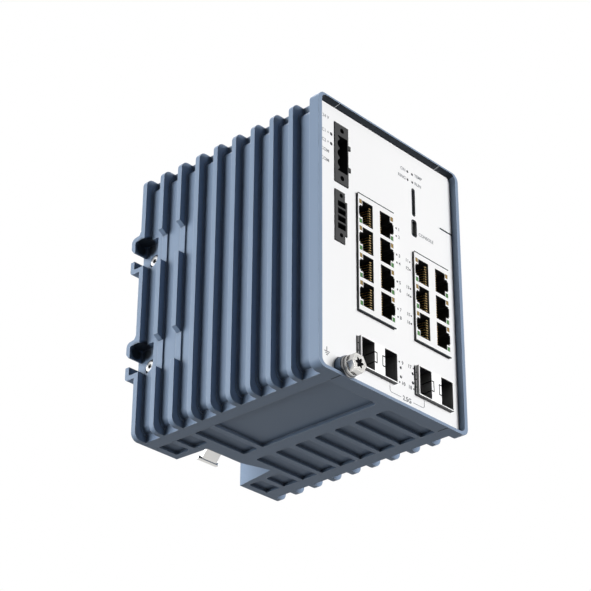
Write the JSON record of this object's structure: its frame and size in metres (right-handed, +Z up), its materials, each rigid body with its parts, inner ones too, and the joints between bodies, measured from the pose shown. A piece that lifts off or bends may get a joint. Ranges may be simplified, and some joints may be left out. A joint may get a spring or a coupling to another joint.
{
  "type": "din rail ethernet switch",
  "caption": "Box-shaped network switch for a top-hat rail: finned die-cast case, recessed front with stacked jacks, module cages and headers, and a sprung rail latch.",
  "frame": {"origin": "middle of the underside of the case, halfway between the head of the ground screw and the rear of the ears", "axes": "+X to the right seen from the front, +Y from front to rear, +Z up"},
  "size_m": [0.1, 0.1274, 0.1385],
  "materials": {
    "painted_casting": "satin",
    "white_panel": "matte",
    "bright_steel": "polished",
    "washer_steel": "satin",
    "dark_plastic": "matte",
    "black_plastic": "matte",
    "tinned_pins": "satin",
    "jack_shield": "satin",
    "gold_contacts": "polished",
    "amber_light": "gloss",
    "green_light": "gloss",
    "cage_steel": "satin",
    "light_pipe": "gloss",
    "circuit_board": "satin",
    "transformer_core": "matte",
    "capacitor_can": "satin",
    "chip_package": "matte",
    "stainless_sheet": "brushed",
    "spring_steel": "satin"
  },
  "bodies": {
    "case": {"middle_housing": "painted_casting", "left_cover": "painted_casting", "right_cover": "painted_casting", "front_panel": "white_panel", "left_cover_screws": "bright_steel", "right_cover_screws": "bright_steel", "ground_screw": "bright_steel", "ground_spring_washer": "washer_steel", "ground_flat_washer": "washer_steel", "power_header": "dark_plastic", "power_header_pins": "tinned_pins", "io_header": "dark_plastic", "io_header_pins": "tinned_pins", "eight_jack_shield": "jack_shield", "eight_jack_insert": "black_plastic", "eight_jack_contacts": "gold_contacts", "eight_jack_amber_lights": "amber_light", "eight_jack_green_lights": "green_light", "six_jack_shield": "jack_shield", "six_jack_insert": "black_plastic", "six_jack_contacts": "gold_contacts", "six_jack_amber_lights": "amber_light", "six_jack_green_lights": "green_light", "left_module_cages": "cage_steel", "right_module_cages": "cage_steel", "left_module_connectors": "black_plastic", "right_module_connectors": "black_plastic", "memory_card_socket": "black_plastic", "console_socket": "cage_steel", "power_light_pipes": "light_pipe", "status_light_pipes": "light_pipe", "module_light_pipes": "light_pipe", "port_light_pipes": "light_pipe", "power_board": "circuit_board", "left_switch_board": "circuit_board", "right_switch_board": "circuit_board", "backplane_board": "circuit_board", "board_connectors": "black_plastic", "transformer": "transformer_core", "capacitors": "capacitor_can", "switch_chips": "chip_package", "power_board_screws": "bright_steel", "backplane_screws": "bright_steel", "rail_clip_plate": "stainless_sheet", "latch_spring": "spring_steel", "clip_plate_screws": "bright_steel"},
    "latch": {"rail_latch": "stainless_sheet"}
  },
  "joints": [
    {"name": "rail_latch_slide", "type": "slide", "parent": "case", "child": "latch", "axis": [0, 0, -1], "range_m": [0, 0.004], "stiffness_N_per_m": 2000, "springref_m": -0.002, "deforming": ["latch_spring"]}
  ]
}
